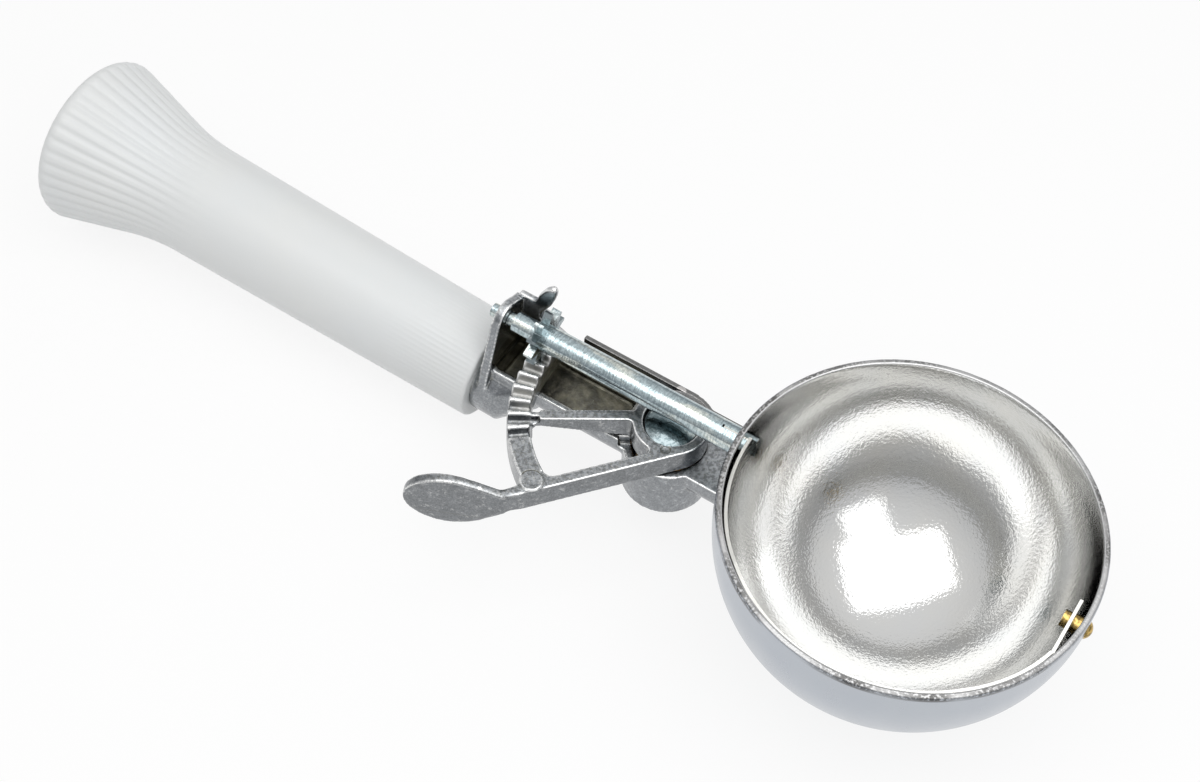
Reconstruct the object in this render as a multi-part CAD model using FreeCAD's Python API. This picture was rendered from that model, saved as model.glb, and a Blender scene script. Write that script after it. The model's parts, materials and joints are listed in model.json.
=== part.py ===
import FreeCAD, Part
import math
import os

# Lever ice cream scoop, in millimetres.
# The model is drawn about the scraper shaft: the shaft's axis is the X axis, the bowl's centre
# is at zero, the grip lies toward -X and the bowl opens toward +Z. At the end every piece moves
# together, so that zero lies under the middle of the scoop, at the level it stands on.

V = FreeCAD.Vector
X_AXIS = V(1, 0, 0)
Y_AXIS = V(0, 1, 0)
Z_AXIS = V(0, 0, 1)

# Clearances
running_gap = 0.06
fixed_gap = 0.03
free_gap = 0.4
seat_gap = 0.3

# Bowl
bowl_outer_radius = 38.0
bowl_wall = 1.37
bowl_rim_height = 5.4
rim_rounding = 0.3

# Scraper blade
blade_thickness = 0.65
blade_width = 9.6
blade_end_width = 6.0
blade_wall_gap = 0.45
blade_rest_angle = 2.5
blade_travel = 175.0
blade_taper_start = 24.0
tab_reach = 3.6
tab_bend = 9.4

# Rivet that carries the blade at the bowl's far side
rivet_radius = 1.2
rivet_head_radius = 1.85
rivet_head_height = 1.0
rivet_inner_head_radius = 1.75
rivet_inner_head_height = 1.3
rivet_collar_radius = 1.95

# Scraper shaft
shaft_radius = 2.89
shaft_journal_radius = 2.25
shaft_pin_radius = 1.5
shaft_pin_reach = 1.8
shaft_end_reach = 2.3
shaft_pin_shoulder = 1.7
shaft_pin_cap = 0.4
tongue_length = 5.5

# Gear pair: a face gear sector on the lever drives the pinion on the shaft
gear_ratio = 6.0
pinion_teeth = 10
gear_module = 1.04
pinion_width = 2.0
pinion_addendum = 1.0
pinion_dedendum = 1.25
pinion_tooth_share = 0.42
sector_tooth_share = 0.40
pressure_angle = 20.0
mesh_depth_gap = 0.25
sector_free_end_angle = 14.0
sector_teeth_before = 2
sector_teeth_after = 6

# Thumb lever
stud_to_bowl_centre = 53.2
lever_top = -5.4
lever_thickness = 6.0
hub_radius = 8.0
hub_recess_radius = 5.9
hub_recess_depth = 2.4
band_width = 4.7
band_rise = 0.4
band_end_angle = 58.5
lower_arm_angle = 50.1
lower_arm_width = 2.25
lower_arm_length = 38.5
upper_arm_angle = 33.7
upper_arm_width = 2.4
upper_arm_offset = -0.45
upper_arm_end_thickness = 2.2
window_corner_radius = 2.2
window_hub_corner_radius = 1.0
pad_angle = 24.5
pad_half_length = 9.4
pad_half_height = 7.6
pad_thickness = 2.2
pad_drop = 4.2
mark_depth = 0.25
large_mark_angle = 60.5
large_mark_reach = 32.0
large_mark_radius = 2.5
small_mark_angle = 111.0
small_mark_reach = 6.95
small_mark_radius = 0.95

# Pivot stud and its return spring
stud_radius = 3.0
stud_head_radius = 5.45
stud_head_height = 1.3
stud_dome = 1.0
sleeve_radius = 4.5
rivet_over_radius = 4.2
rivet_over_height = 1.0
spring_wire = 1.1
spring_coil_radius = 6.05
spring_turns = 5
spring_pitch = 1.6
spring_bend_radius = 1.3
spring_top = -13.45
spring_foot_depth = 1.7
spring_foot_gap = 0.15
spring_leg_along = 8.5
spring_leg_height = 4.4

# Cast frame
boss_radius = 9.48
boss_top = -12.0
boss_height = 13.4
boss_wall = 1.9
boss_floor = 3.0
near_side = 6.0
far_side = 9.5
belly_depth = 8.4
side_depth = 2.4
far_wall_top = -6.4
far_wall_thickness = 1.15
trough_depth = 5.2
trough_wall = 1.4
trough_far_wall = 2.9
trough_corner = 3.0
trough_to_boss = 1.2
neck_far_side = 8.0
collar_radius = 9.1
collar_length = 6.0
shoulder_length = 8.0
shoulder_radius = 5.4
shoulder_drop = 1.8
braze_width = 1.2
braze_thickness = 1.6
plate_thickness = 2.2
plate_offset = 1.2
plate_top_radius = 3.9
ear_height = 2.85
ear_depth = 3.4
ear_side = 4.6
ear_thickness = 1.6
ear_length = 4.7
ear_far_side = 7.6
plate_shoulder_side = 6.2
plate_shoulder_level = 0.8
horn_height = 9.7
horn_lean = 3.4
shelf_top = -1.8
shelf_thickness = 1.6
post_thickness = 1.5
gear_passage = 0.6
tang_length = 62.0
tang_width = 8.0
tang_height = 11.0

# Grip
grip_tilt = 2.58
grip_front_to_bowl_centre = 97.2
grip_axis_drop = 21.5
grip_front_radius = 11.6
grip_length = 110.6
grip_barrel_length = 78.0
grip_barrel_radius = 12.95
grip_flare_radius = 50.0
grip_flare_angle = 14.6
grip_butt_rounding = 2.6
grip_front_rounding = 0.6

# Values that follow from the sizes above
bowl_inner_radius = bowl_outer_radius - bowl_wall
pinion_pitch_radius = gear_module * pinion_teeth / 2
mesh_radius = gear_ratio * pinion_pitch_radius
stud_x = -stud_to_bowl_centre
pinion_x = stud_x - mesh_radius
lever_bottom = lever_top - lever_thickness
band_inner_radius = mesh_radius - band_width / 2
band_outer_radius = mesh_radius + band_width / 2
boss_bottom = boss_top - boss_height
boss_inner_radius = boss_radius - boss_wall
cup_floor = boss_bottom + boss_floor
blade_outer_radius = bowl_inner_radius - blade_wall_gap
blade_inner_radius = blade_outer_radius - blade_thickness
lever_travel = blade_travel / gear_ratio
spring_leg_aside = hub_radius - lower_arm_width - seat_gap - spring_wire / 2
spring_leg_radius = math.hypot(spring_leg_along, spring_leg_aside)
spring_leg_tangent = math.sqrt(spring_leg_radius ** 2 - spring_coil_radius ** 2)
spring_leg_angle = lower_arm_angle + math.degrees(math.atan2(spring_leg_aside, spring_leg_along))
spring_leg_sweep = math.degrees(math.atan2(spring_leg_tangent, spring_coil_radius))
grip_front = V(-grip_front_to_bowl_centre, 0, -grip_axis_drop)

blade_tab_x = math.sqrt(blade_inner_radius ** 2 - tab_bend ** 2)
plate_back_x = -grip_front_to_bowl_centre + plate_offset + grip_axis_drop * math.sin(math.radians(grip_tilt))
plate_front_x = plate_back_x + plate_thickness


def cylinder(radius, start, end):
    axis = end - start
    return Part.makeCylinder(radius, axis.Length, start, axis)


def box(low, high):
    return Part.makeBox(high.x - low.x, high.y - low.y, high.z - low.z, low)


def prism(points, path):
    """Extrude the closed outline through the points along the path."""
    return Part.Face(Part.makePolygon(points + [points[0]])).extrude(path)


def join(solids):
    return solids[0].fuse(solids[1:]).removeSplitter()


def toward(angle, distance):
    """Point in plan at a distance from the stud; the angle runs from -X toward -Y."""
    turn = math.radians(angle)
    return V(stud_x - distance * math.cos(turn), -distance * math.sin(turn), 0)


def ring_sector(inner, outer, first_angle, last_angle, low, high):
    """Part of a flat ring about the stud, between two angles counted from -X toward -Y."""
    middle = (first_angle + last_angle) / 2
    lift = V(0, 0, low)
    edges = [
        Part.Arc(toward(first_angle, inner), toward(middle, inner), toward(last_angle, inner)).toShape(),
        Part.makeLine(toward(last_angle, inner), toward(last_angle, outer)),
        Part.Arc(toward(last_angle, outer), toward(middle, outer), toward(first_angle, outer)).toShape(),
        Part.makeLine(toward(first_angle, outer), toward(first_angle, inner)),
    ]
    solid = Part.Face(Part.Wire(edges)).extrude(V(0, 0, high - low))
    solid.translate(lift)
    return solid


def dome(base_centre, axis, radius, height):
    """Cap of a ball that stands on a flat disc of the given radius."""
    ball_radius = (radius ** 2 + height ** 2) / (2 * height)
    centre = base_centre - axis * (ball_radius - height)
    ball = Part.makeSphere(ball_radius, centre)
    return ball.common(cylinder(radius, base_centre, base_centre + axis * height))


def in_grip_frame(shape):
    """Move a shape drawn with the grip's axis on X and the grip's front at zero into place."""
    shape.Placement = FreeCAD.Placement(grip_front, FreeCAD.Rotation(Y_AXIS, grip_tilt))
    return shape


def bowl_body(radius, top):
    """Half ball below the shaft's level with a straight wall up to the top."""
    half_ball = Part.makeSphere(radius, V(0, 0, 0), V(0, 0, -1), 0, 90)
    return half_ball.fuse(Part.makeCylinder(radius, top)).removeSplitter()


def make_bowl():
    """Pressed bowl: a turned profile, holed for the shaft and for the rivet."""
    diagonal = math.sqrt(0.5)
    outer, inner, top, edge = bowl_outer_radius, bowl_inner_radius, bowl_rim_height, rim_rounding
    edges = [
        Part.Arc(V(0, 0, -outer), V(outer * diagonal, 0, -outer * diagonal), V(outer, 0, 0)).toShape(),
        Part.makeLine(V(outer, 0, 0), V(outer, 0, top - edge)),
        rim_corner(V(outer - edge, 0, top - edge), 1),
        Part.makeLine(V(outer - edge, 0, top), V(inner + edge, 0, top)),
        rim_corner(V(inner + edge, 0, top - edge), -1),
        Part.makeLine(V(inner, 0, top - edge), V(inner, 0, 0)),
        Part.Arc(V(inner, 0, 0), V(inner * diagonal, 0, -inner * diagonal), V(0, 0, -inner)).toShape(),
        Part.makeLine(V(0, 0, -inner), V(0, 0, -outer)),
    ]
    solid = Part.Face(Part.Wire(Part.sortEdges(edges)[0])).revolve(V(0, 0, 0), Z_AXIS, 360)
    solid = Part.makeSolid(solid) if solid.ShapeType != "Solid" else solid
    shaft_hole = cylinder(shaft_radius + running_gap, V(-outer - 2, 0, 0), V(-inner + 4, 0, 0))
    rivet_hole = cylinder(rivet_radius + fixed_gap, V(inner - 2, 0, 0), V(outer + 2, 0, 0))
    return solid.cut([shaft_hole, rivet_hole])


def rim_corner(centre, side):
    """Quarter round on the rim; side is 1 on the outside and -1 on the inside."""
    diagonal = rim_rounding * math.sqrt(0.5)
    return Part.Arc(
        centre + V(side * rim_rounding, 0, 0),
        centre + V(side * diagonal, 0, diagonal),
        centre + V(0, 0, rim_rounding),
    ).toShape()


def make_scraper_shaft():
    """Round rod with a thin journal for the pinion, a pin for the plate and a slotted end."""
    rod_start = pinion_x + pinion_width / 2
    end = -bowl_inner_radius + shaft_end_reach
    journal_start = plate_front_x + shaft_pin_shoulder
    pin_end = plate_back_x - shaft_pin_reach
    rod = cylinder(shaft_radius, V(rod_start, 0, 0), V(end, 0, 0))
    journal = cylinder(shaft_journal_radius, V(journal_start, 0, 0), V(rod_start, 0, 0))
    pin = cylinder(shaft_pin_radius, V(pin_end, 0, 0), V(journal_start, 0, 0))
    pin_cap = dome(V(pin_end, 0, 0), V(-1, 0, 0), shaft_pin_radius, shaft_pin_cap)
    slot_half = blade_thickness / 2 + fixed_gap
    notch_x = -blade_outer_radius - fixed_gap
    slot_start = -blade_outer_radius - tongue_length - seat_gap
    slot = box(V(slot_start, -slot_half, -shaft_radius - 1), V(end + 1, slot_half, shaft_radius + 1))
    notch = box(V(notch_x, -shaft_radius - 1, -shaft_radius - 1), V(end + 1, slot_half, shaft_radius + 1))
    shaft = join([rod, journal, pin, pin_cap]).cut([slot, notch])
    shaft.rotate(V(0, 0, 0), X_AXIS, blade_rest_angle)
    return shaft


def make_pinion():
    """Thin spur gear; a gap between two of its teeth faces straight down at rest."""
    root = pinion_pitch_radius - pinion_dedendum
    tip = pinion_pitch_radius + pinion_addendum
    pitch = math.pi * gear_module
    slope = math.tan(math.radians(pressure_angle))
    pitch_half = pitch * pinion_tooth_share / 2
    tip_half = pitch_half - pinion_addendum * slope
    root_half = pitch_half + pinion_dedendum * slope
    start = V(pinion_x - pinion_width / 2, 0, 0)
    width = V(pinion_width, 0, 0)
    pieces = [cylinder(root, start, start + width)]
    for tooth in range(pinion_teeth):
        angle = 360.0 * (tooth + 0.5) / pinion_teeth
        outline = [V(0, -root_half, -root + 1), V(0, -root_half, -root), V(0, -tip_half, -tip)]
        outline += [V(0, tip_half, -tip), V(0, root_half, -root), V(0, root_half, -root + 1)]
        blank = prism([point + start for point in outline], width)
        blank.rotate(V(0, 0, 0), X_AXIS, angle)
        pieces.append(blank)
    bore = cylinder(shaft_journal_radius + fixed_gap, start - X_AXIS, start + width + X_AXIS)
    return join(pieces).cut(bore)


def make_scraper_blade():
    """Thin strip along half a circle inside the bowl, bent into the shaft's slot at one end."""
    half, end_half = blade_width / 2, blade_end_width / 2
    reach = blade_outer_radius + 1
    side = [V(-reach, 0, end_half), V(-blade_taper_start, 0, half), V(blade_taper_start, 0, half)]
    side += [V(reach, 0, end_half), V(reach, 0, -end_half), V(blade_taper_start, 0, -half)]
    side += [V(-blade_taper_start, 0, -half), V(-reach, 0, -end_half)]
    strip = prism(side, V(0, -reach, 0))
    strip.translate(V(0, blade_thickness / 2, 0))
    shell = Part.makeSphere(blade_outer_radius).cut(Part.makeSphere(blade_inner_radius))
    tab_side = box(V(0, -tab_bend, -half - 1), V(reach + 1, half, half + 1))
    curved = strip.common(shell).cut(tab_side)
    tab_outer_x = blade_tab_x + blade_thickness
    tab = box(V(blade_tab_x, -tab_bend - 0.5 * blade_thickness, -end_half), V(tab_outer_x, tab_reach, end_half))
    tongue_start = -blade_outer_radius - tongue_length
    tongue_half = shaft_radius - fixed_gap * 10
    tongue = box(
        V(tongue_start, -blade_thickness / 2, -tongue_half),
        V(-blade_inner_radius, blade_thickness / 2, tongue_half),
    )
    rivet_hole = cylinder(rivet_radius + running_gap, V(blade_tab_x - 2, 0, 0), V(tab_outer_x + 2, 0, 0))
    blade = join([curved, tab, tongue]).cut(rivet_hole)
    blade.rotate(V(0, 0, 0), X_AXIS, blade_rest_angle)
    return blade


def make_tip_rivet():
    """Brass rivet through the bowl's wall and the blade's tab, with a domed head outside."""
    inner_face = blade_tab_x - running_gap
    outer_face = bowl_outer_radius + fixed_gap
    shank = cylinder(rivet_radius, V(inner_face, 0, 0), V(outer_face, 0, 0))
    inner_head = cylinder(
        rivet_inner_head_radius, V(inner_face - rivet_inner_head_height, 0, 0), V(inner_face, 0, 0)
    )
    head = dome(V(outer_face, 0, 0), X_AXIS, rivet_head_radius, rivet_head_height)
    return join([shank, inner_head, head])


def make_tip_collar():
    """Brass ring that holds the blade's tab off the bowl's wall."""
    start = V(blade_tab_x + blade_thickness + running_gap, 0, 0)
    end_x = math.sqrt(bowl_inner_radius ** 2 - rivet_collar_radius ** 2) - fixed_gap
    ring = cylinder(rivet_collar_radius, start, V(end_x, 0, 0))
    return ring.cut(cylinder(rivet_radius + fixed_gap, start - X_AXIS, V(end_x + 1, 0, 0)))


def arm_point(angle, along, aside):
    """Point on a lever arm: along it from the stud, and aside toward the thumb's side."""
    turn = math.radians(angle)
    x = -along * math.cos(turn) + aside * math.sin(turn)
    y = -along * math.sin(turn) - aside * math.cos(turn)
    return V(stud_x + x, y, 0)


def lever_window():
    """Opening between the two arms and the toothed band, with rounded corners."""
    reach = band_outer_radius
    lower_far = hub_radius - lower_arm_width
    corners = [
        arm_point(upper_arm_angle, 0, upper_arm_offset),
        arm_point(upper_arm_angle, reach, upper_arm_offset),
        arm_point((upper_arm_angle + lower_arm_angle) / 2, reach * 1.3, 0),
        arm_point(lower_arm_angle, reach, lower_far),
        arm_point(lower_arm_angle, 0, lower_far),
    ]
    low = V(0, 0, lever_bottom - 1)
    height = V(0, 0, lever_thickness + band_rise + 2)
    stud_axis = V(stud_x, 0, low.z)
    wedge = prism([corner + low for corner in corners], height)
    wedge = wedge.common(Part.makeCylinder(band_inner_radius, height.z, stud_axis))
    wedge = wedge.cut(Part.makeCylinder(hub_radius, height.z, stud_axis))
    upright = [edge for edge in wedge.Edges if is_upright(edge, height.z)]
    middle = (hub_radius + band_inner_radius) / 2
    near_band = [edge for edge in upright if stud_distance(edge.Vertexes[0].Point) > middle]
    wedge = wedge.makeFillet(window_corner_radius, near_band)
    upright = [edge for edge in wedge.Edges if is_upright(edge, height.z)]
    near_hub = [edge for edge in upright if stud_distance(edge.Vertexes[0].Point) < hub_radius + 0.01]
    return wedge.makeFillet(window_hub_corner_radius, near_hub)


def stud_distance(point):
    return math.hypot(point.x - stud_x, point.y)


def is_upright(edge, height):
    ends = [vertex.Point for vertex in edge.Vertexes]
    return len(ends) == 2 and abs(abs(ends[0].z - ends[1].z) - height) < 0.01


def sector_tooth_gaps():
    """Grooves between the teeth on the band's top face, each a straight radial channel."""
    pitch = math.pi * gear_module
    slope = math.tan(math.radians(pressure_angle))
    pitch_level = -pinion_pitch_radius - mesh_depth_gap
    floor = pitch_level - pinion_dedendum
    roof = lever_top + band_rise + 1
    gap_half = pitch * (1 - sector_tooth_share) / 2
    floor_half = gap_half - (pitch_level - floor) * slope
    roof_half = gap_half + (roof - pitch_level) * slope
    tooth_angle = 360.0 / (gear_ratio * pinion_teeth)
    outline = [V(0, -floor_half, floor), V(0, floor_half, floor), V(0, roof_half, roof), V(0, -roof_half, roof)]
    start = V(stud_x - band_outer_radius - 2, 0, 0)
    gaps = []
    for step in range(-sector_teeth_before, sector_teeth_after + 2):
        channel = prism([point + start for point in outline], V(band_width + 4, 0, 0))
        channel.rotate(V(stud_x, 0, 0), Z_AXIS, tooth_angle * (step - 0.5))
        gaps.append(channel)
    return gaps


def make_thumb_pad():
    """Flat oval plate for the thumb, standing upright at the end of the lower arm."""
    corner = arm_point(lower_arm_angle, lower_arm_length, hub_radius)
    middle = lever_top - pad_drop
    neck = [V(-1, 0, lever_top), V(pad_half_length * 0.6, 0, middle + pad_half_height * 0.88)]
    neck += [V(pad_half_length * 0.6, 0, middle - pad_half_height * 0.88), V(-1, 0, lever_bottom)]
    ellipse = Part.Ellipse(V(0, 0, 0), pad_half_length, pad_half_height).toShape()
    disc = Part.Face(Part.Wire([ellipse])).extrude(V(0, 0, pad_thickness))
    disc.rotate(V(0, 0, 0), X_AXIS, 90)
    disc.translate(V(pad_half_length + 1, 0, middle))
    pad = join([disc, prism(neck, V(0, -pad_thickness, 0))])
    pad.rotate(V(0, 0, 0), Z_AXIS, 180 + pad_angle)
    pad.translate(corner)
    return pad


def make_thumb_lever():
    """Cast lever: hub with a sleeve, two arms, the toothed band and the thumb pad."""
    low = V(0, 0, lever_bottom)
    height = V(0, 0, lever_thickness)
    hub_low = V(stud_x, 0, lever_bottom)
    hub = cylinder(hub_radius, hub_low, hub_low + height)
    band = ring_sector(
        band_inner_radius, band_outer_radius, -sector_free_end_angle, band_end_angle,
        lever_bottom, lever_top + band_rise,
    )
    lower_far = hub_radius - lower_arm_width
    upper_far = upper_arm_offset - upper_arm_width
    lower_arm = [
        arm_point(lower_arm_angle, 0, hub_radius), arm_point(lower_arm_angle, lower_arm_length, hub_radius),
        arm_point(lower_arm_angle, lower_arm_length + 1.6, hub_radius - pad_thickness),
        arm_point(lower_arm_angle, lower_arm_length, lower_far), arm_point(lower_arm_angle, 0, lower_far),
    ]
    arms_outline = [
        arm_point(lower_arm_angle, 0, hub_radius), arm_point(lower_arm_angle, band_inner_radius, hub_radius),
        arm_point(lower_arm_angle, band_inner_radius + 1, lower_far - 1),
        toward((lower_arm_angle + upper_arm_angle) / 2, band_inner_radius + 1),
        arm_point(upper_arm_angle, band_inner_radius + 1, upper_far), arm_point(upper_arm_angle, 0, upper_far),
    ]
    arm = prism([point + low for point in lower_arm], height)
    web = prism([point + low for point in arms_outline], height).cut(lever_window())
    sleeve = cylinder(sleeve_radius, V(stud_x, 0, cup_floor + seat_gap), hub_low)
    lever = join([hub, band, arm, web, sleeve, make_thumb_pad(), arm_mark()])
    recess_low = V(stud_x, 0, lever_top - hub_recess_depth)
    recess = cylinder(hub_recess_radius, recess_low, recess_low + Z_AXIS * 10)
    bore = cylinder(stud_radius + running_gap, V(stud_x, 0, cup_floor - 1), V(stud_x, 0, 0))
    return lever.cut([recess, bore, upper_arm_taper(), hub_mark()] + sector_tooth_gaps())


def upper_arm_taper():
    """Wedge below the upper arm, which thins from the hub toward the band."""
    near, far = upper_arm_offset + free_gap, upper_arm_offset - upper_arm_width - free_gap
    thin = lever_top - upper_arm_end_thickness
    outline = [(hub_radius, lever_bottom), (band_inner_radius, thin), (band_inner_radius, lever_bottom)]
    base = [arm_point(upper_arm_angle, along, near) + V(0, 0, level) for along, level in outline]
    across = arm_point(upper_arm_angle, 0, far) - arm_point(upper_arm_angle, 0, near)
    return prism(base, across)


def arm_mark():
    """Round pad, level with the band, that a mould pin leaves where the arm meets the band."""
    low = toward(large_mark_angle, large_mark_reach) + V(0, 0, lever_top - lever_thickness / 2)
    return cylinder(large_mark_radius, low, low + Z_AXIS * (lever_thickness / 2 + band_rise))


def hub_mark():
    """Shallow round print that a mould pin leaves on the hub's face."""
    low = toward(small_mark_angle, small_mark_reach) + V(0, 0, lever_top - mark_depth)
    return cylinder(small_mark_radius, low, low + Z_AXIS)


def make_pivot_stud():
    """Stud with a low domed head in the lever's recess, riveted over under the boss."""
    seat = lever_top - hub_recess_depth + running_gap
    head_low = V(stud_x, 0, seat)
    head_high = head_low + Z_AXIS * stud_head_height
    head = cylinder(stud_head_radius, head_low, head_high)
    cap = dome(head_high, Z_AXIS, stud_head_radius, stud_dome)
    shank = cylinder(stud_radius, V(stud_x, 0, boss_bottom), head_low)
    foot = cylinder(rivet_over_radius, V(stud_x, 0, boss_bottom), V(stud_x, 0, boss_bottom + rivet_over_height))
    return join([head, cap, shank, foot])


def arc_from(start, direction, end):
    """Arc that leaves the start along the direction and reaches the end."""
    chord = end - start
    middle = (start + end) * 0.5
    along = V(chord).normalize()
    side = direction - along * direction.dot(along)
    if side.Length < 1e-9:
        return Part.makeLine(start, end)
    half_angle = direction.getAngle(chord)
    rise = chord.Length / 2 * math.tan(half_angle / 2)
    return Part.Arc(start, middle + side.normalize() * rise, end).toShape()


def biarc(start, start_direction, end, end_direction):
    """Two arcs that join two points and keep both directions."""
    span = end - start
    both = start_direction + end_direction
    spread = 2 * (1 - start_direction.dot(end_direction))
    forward = span.dot(both)
    reach = (-forward + math.sqrt(forward ** 2 + spread * span.dot(span))) / spread
    joint = (start + end + (start_direction - end_direction) * reach) * 0.5
    back = arc_from(end, end_direction * -1, joint)
    return [arc_from(start, start_direction, joint), back]


def coil_point(turn_angle, low):
    """Point on the spring's centre line and the direction there; the coil climbs as it turns."""
    x = stud_x + spring_coil_radius * math.cos(turn_angle)
    y = spring_coil_radius * math.sin(turn_angle)
    rise = spring_pitch / (2 * math.pi)
    direction = V(-spring_coil_radius * math.sin(turn_angle), spring_coil_radius * math.cos(turn_angle), rise)
    return V(x, y, low + rise * turn_angle), direction.normalize()


def spring_path():
    """Centre line: a foot into the boss's floor, the coil, and a leg up beside the lower arm."""
    quarter = math.pi / 2
    last = math.radians(180 + spring_leg_angle - spring_leg_sweep)
    first = last - spring_turns * 2 * math.pi
    low = spring_top - spring_pitch * last / (2 * math.pi)
    start, start_direction = coil_point(first, low)
    foot_top = start - start_direction * spring_bend_radius - Z_AXIS * spring_bend_radius
    foot_end = V(foot_top.x, foot_top.y, cup_floor - spring_foot_depth)
    edges = [Part.makeLine(foot_end, foot_top)]
    edges += biarc(foot_top, Z_AXIS, start, start_direction)
    steps = round((last - first) / quarter)
    for step in range(steps):
        here, here_direction = coil_point(first + step * quarter, low)
        there, there_direction = coil_point(first + (step + 1) * quarter, low)
        edges += biarc(here, here_direction, there, there_direction)
    end, end_direction = coil_point(last, low)
    leg_turn = end + end_direction * (spring_leg_tangent - spring_bend_radius)
    edges.append(Part.makeLine(end, leg_turn))
    leg_top = leg_turn + end_direction * spring_bend_radius + Z_AXIS * spring_bend_radius
    edges += biarc(leg_turn, end_direction, leg_top, Z_AXIS)
    edges.append(Part.makeLine(leg_top, V(leg_top.x, leg_top.y, spring_top + spring_leg_height)))
    return Part.Wire(edges)


def least_gap(wire):
    """Smallest gap between the wire's surfaces at places that aren't neighbours along it."""
    count = 900
    points = wire.discretize(Number=count)
    step = wire.Length / (count - 1)
    skip = int(3 * spring_coil_radius / step)
    gap = 1000.0
    for index, point in enumerate(points):
        for other in points[index + skip:]:
            gap = min(gap, point.distanceToPoint(other))
    return gap - spring_wire


def make_lever_spring():
    """Round wire torsion spring about the lever's sleeve."""
    path = spring_path()
    first = path.Edges[0]
    start = first.Vertexes[0].Point
    profile = Part.Wire(Part.makeCircle(spring_wire / 2, start, Z_AXIS))
    spring = path.makePipeShell([profile], True, False)
    print("spring: least gap to itself %.2f mm" % least_gap(path))
    return spring


def casting_section(x):
    """Outline of the frame's beam across its length: a flat top and a round belly."""
    top = boss_top
    side = top - side_depth
    bottom = top - belly_depth
    slant = math.sqrt(0.5)
    centre_z = side
    near_mid = V(x, -near_side * slant, centre_z - (centre_z - bottom) * slant)
    far_mid = V(x, far_side * slant, centre_z - (centre_z - bottom) * slant)
    edges = [
        Part.makeLine(V(x, far_side, top), V(x, -near_side, top)),
        Part.makeLine(V(x, -near_side, top), V(x, -near_side, side)),
        Part.Arc(V(x, -near_side, side), near_mid, V(x, 0, bottom)).toShape(),
        Part.Arc(V(x, 0, bottom), far_mid, V(x, far_side, side)).toShape(),
        Part.makeLine(V(x, far_side, side), V(x, far_side, top)),
    ]
    return Part.Wire(edges)


def collar_outline(distance, radius, drop):
    """Circle across the grip's axis, lowered or raised from it."""
    circle = Part.Wire(Part.makeCircle(radius, V(distance, 0, drop), X_AXIS))
    return in_grip_frame(circle)


def plate_solid():
    """Upright plate that bears the shaft's pin: two discs, their outer tangents and a far shoulder."""
    start, thickness = plate_offset, V(plate_thickness, 0, 0)
    small = cylinder(plate_top_radius, V(start, 0, grip_axis_drop), V(start, 0, grip_axis_drop) + thickness)
    large = cylinder(collar_radius, V(start, 0, 0), V(start, 0, 0) + thickness)
    lean = math.asin((collar_radius - plate_top_radius) / grip_axis_drop)
    cos_lean, sin_lean = math.cos(lean), math.sin(lean)
    outline = [
        V(start, plate_top_radius * cos_lean, grip_axis_drop + plate_top_radius * sin_lean),
        V(start, collar_radius * cos_lean, collar_radius * sin_lean),
        V(start, -collar_radius * cos_lean, collar_radius * sin_lean),
        V(start, -plate_top_radius * cos_lean, grip_axis_drop + plate_top_radius * sin_lean),
    ]
    shoulder_reach = math.hypot(plate_shoulder_side, plate_shoulder_level)
    touch = math.acos(plate_top_radius / shoulder_reach) + math.atan2(plate_shoulder_level, plate_shoulder_side)
    shoulder = [
        V(start, 0, grip_axis_drop),
        V(start, plate_top_radius * math.cos(touch), grip_axis_drop + plate_top_radius * math.sin(touch)),
        V(start, plate_shoulder_side, grip_axis_drop + plate_shoulder_level),
        V(start, ear_far_side, grip_axis_drop + shelf_top),
        V(start, ear_far_side, grip_axis_drop + boss_top - 1),
        V(start, 0, grip_axis_drop + boss_top - 1),
    ]
    return in_grip_frame(join([small, large, prism(outline, thickness), prism(shoulder, thickness)]))


def ear_solid():
    """Wall beside the journal with the horn that guards the gears, and the shelf behind it."""
    wall_x = plate_front_x - 1
    end_x = plate_front_x + ear_length
    tip_x = end_x + horn_lean
    outline = [V(wall_x, ear_side, -ear_depth), V(end_x, ear_side, -ear_depth)]
    outline += [V(end_x + 0.2, ear_side, 0.2), V(tip_x - 1.3, ear_side, horn_height * 0.36)]
    outline += [V(tip_x - 0.4, ear_side, horn_height * 0.64), V(tip_x, ear_side, horn_height * 0.83)]
    outline += [V(tip_x, ear_side, horn_height * 0.95), V(tip_x - 0.5, ear_side, horn_height)]
    outline += [V(tip_x - 1.3, ear_side, horn_height), V(tip_x - 2.6, ear_side, horn_height * 0.86)]
    outline += [V(tip_x - 4.1, ear_side, horn_height * 0.58), V(tip_x - 4.9, ear_side, ear_height)]
    outline += [V(wall_x, ear_side, ear_height)]
    return prism(outline, V(0, ear_thickness, 0))


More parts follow.
